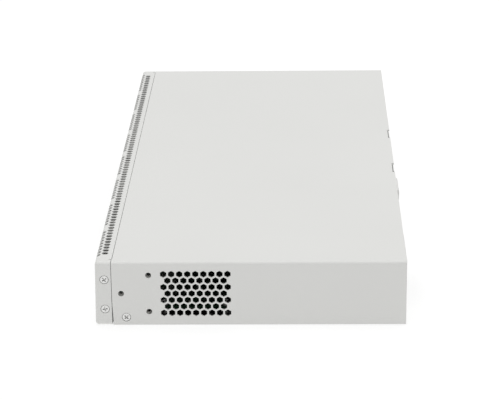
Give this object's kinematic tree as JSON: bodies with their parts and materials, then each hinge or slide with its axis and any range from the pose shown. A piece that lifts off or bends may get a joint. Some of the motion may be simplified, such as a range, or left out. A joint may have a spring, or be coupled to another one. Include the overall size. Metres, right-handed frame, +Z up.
{
  "type": "rackmount network switch",
  "caption": "One-unit rackmount network switch: folded sheet-metal case with slotted bezel, hexagonal side vents, rack-ear threads, rows of network ports, and mains inlet at the rear.",
  "frame": {"origin": "middle of the bounding box's footprint, on the surface the switch stands on", "axes": "+X to the right as seen from the front, along the width; -Y out of the front face with the ports; +Z up"},
  "size_m": [0.44, 0.2054, 0.044],
  "materials": {
    "case_paint": "fine-textured light warm grey powder coat, satin",
    "nickel": "bright nickel plating",
    "zinc_steel": "zinc-plated steel, satin",
    "board_lacquer": "green solder lacquer over glass-epoxy board",
    "shield_steel": "tin-plated sheet steel",
    "black_plastic": "black moulded plastic, fine grain",
    "chip_epoxy": "matt black epoxy",
    "sink_aluminium": "extruded aluminium, satin",
    "winding_tape": "yellow winding tape over a ferrite core",
    "capacitor_sleeve": "dark shrink sleeve",
    "ferrite": "green coated ferrite ring",
    "white_nylon": "natural nylon",
    "insulator_sheet": "black polyester film",
    "light_pipe_plastic": "clear moulded plastic, polished",
    "plated_brass": "nickel-plated brass",
    "wire_brown": "brown wire insulation",
    "wire_blue": "blue wire insulation",
    "wire_green_yellow": "green and yellow wire insulation",
    "wire_black": "black cable sleeve"
  },
  "bodies": {
    "chassis": {"top_cover": "case_paint", "base_tray": "case_paint", "front_bezel": "case_paint", "bezel_screw_left_lower": "nickel", "bezel_screw_left_upper": "nickel", "bezel_screw_right_lower": "nickel", "bezel_screw_right_upper": "nickel", "cover_screw_left": "nickel", "cover_screw_right": "nickel", "cover_screw_rear": "nickel", "inlet_screw_left": "nickel", "inlet_screw_right": "nickel", "board_screw_1": "nickel", "board_screw_2": "nickel", "board_screw_3": "nickel", "board_screw_4": "nickel", "board_screw_5": "nickel", "clinch_nut_left_front": "zinc_steel", "clinch_nut_left_upper": "zinc_steel", "clinch_nut_left_lower": "zinc_steel", "clinch_nut_right_front": "zinc_steel", "clinch_nut_right_upper": "zinc_steel", "clinch_nut_right_lower": "zinc_steel", "board_standoff_1": "zinc_steel", "board_standoff_2": "zinc_steel", "board_standoff_3": "zinc_steel", "board_standoff_4": "zinc_steel", "board_standoff_5": "zinc_steel", "earth_screw": "zinc_steel", "main_board": "board_lacquer", "psu_board": "board_lacquer", "port_block_left": "shield_steel", "port_block_right": "shield_steel", "console_jack": "shield_steel", "sfp_cage": "shield_steel", "reset_switch": "black_plastic", "ac_inlet": "black_plastic", "switch_chip": "chip_epoxy", "phy_chip_left": "chip_epoxy", "phy_chip_right": "chip_epoxy", "switch_heatsink": "sink_aluminium", "psu_heatsink": "sink_aluminium", "power_transformer": "winding_tape", "bulk_capacitor": "capacitor_sleeve", "line_choke": "ferrite", "psu_support_1": "white_nylon", "psu_support_2": "white_nylon", "psu_support_3": "white_nylon", "psu_support_4": "white_nylon", "power_header": "white_nylon", "psu_insulator": "insulator_sheet", "light_pipe": "light_pipe_plastic", "inlet_pin_line": "plated_brass", "inlet_pin_neutral": "plated_brass", "inlet_pin_earth": "plated_brass", "line_wire": "wire_brown", "neutral_wire": "wire_blue", "earth_wire": "wire_green_yellow", "output_cable": "wire_black"},
    "button": {"reset_button": "black_plastic"}
  },
  "joints": [
    {"name": "reset_press", "type": "slide", "parent": "chassis", "child": "button", "axis": [0, 1, 0], "range_m": [0, 0.0012], "stiffness_N_per_m": 400, "springref_m": -0.001}
  ]
}
